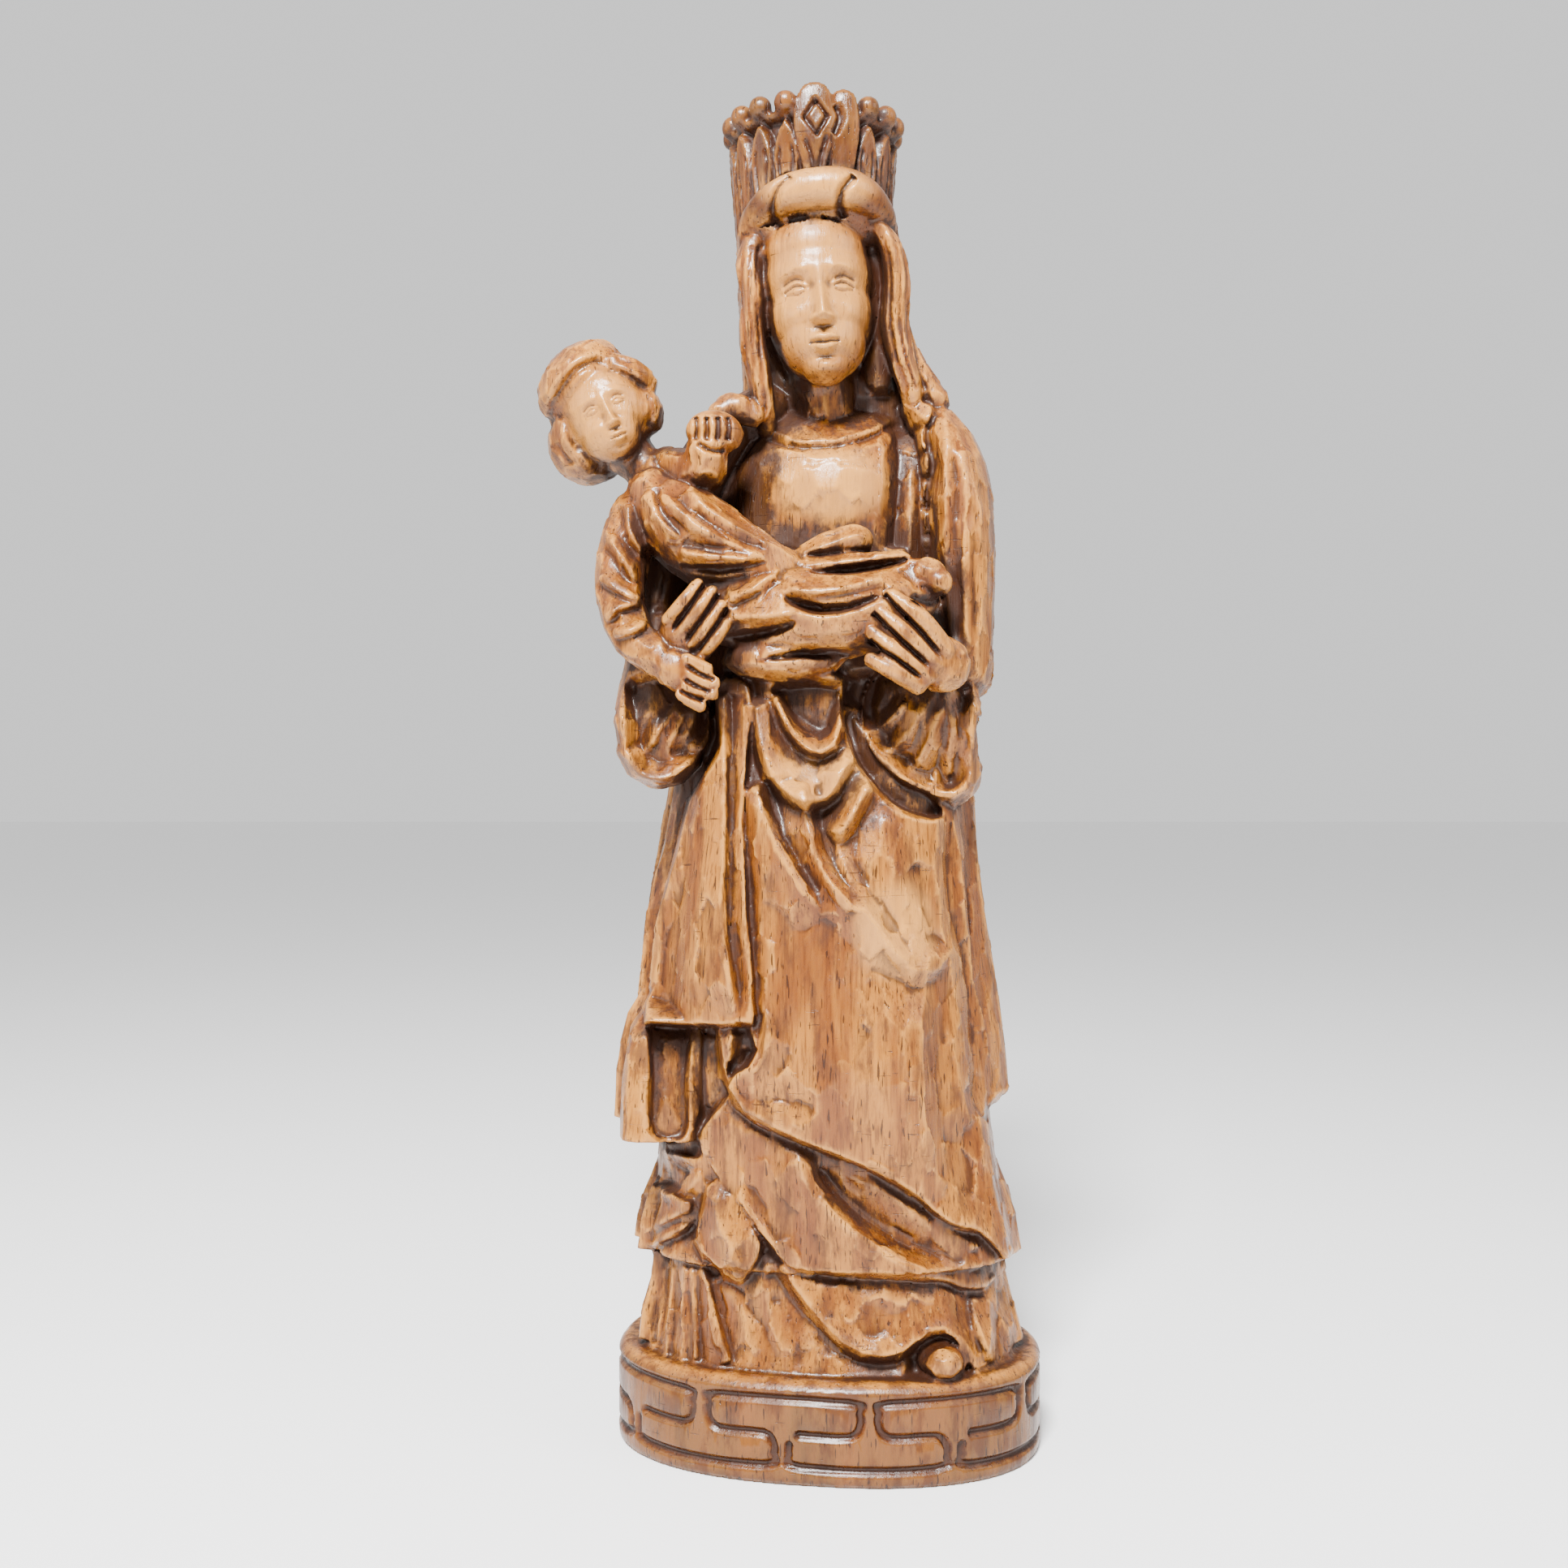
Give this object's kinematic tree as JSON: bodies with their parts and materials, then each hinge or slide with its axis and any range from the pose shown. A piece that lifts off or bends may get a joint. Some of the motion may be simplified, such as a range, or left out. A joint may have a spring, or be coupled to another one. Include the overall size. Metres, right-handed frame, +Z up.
{
  "type": "carved wooden virgin and child statue",
  "caption": "Tall crowned figure in draped mantle holding a child on one arm, carved with an oval plinth that has a running fret border.",
  "frame": {"origin": "middle of the plinth's flat underside", "axes": "+Z up along the figure, -Y the way the figure faces, +X to the viewer's right"},
  "size_m": [0.2261, 0.1381, 0.6005],
  "materials": {
    "carved_wood": "warm tan-brown hardwood with a satin varnish, dark in the recesses and bright on the folds"
  },
  "bodies": {
    "root": {"virgin_and_child": "carved_wood"}
  },
  "joints": []
}
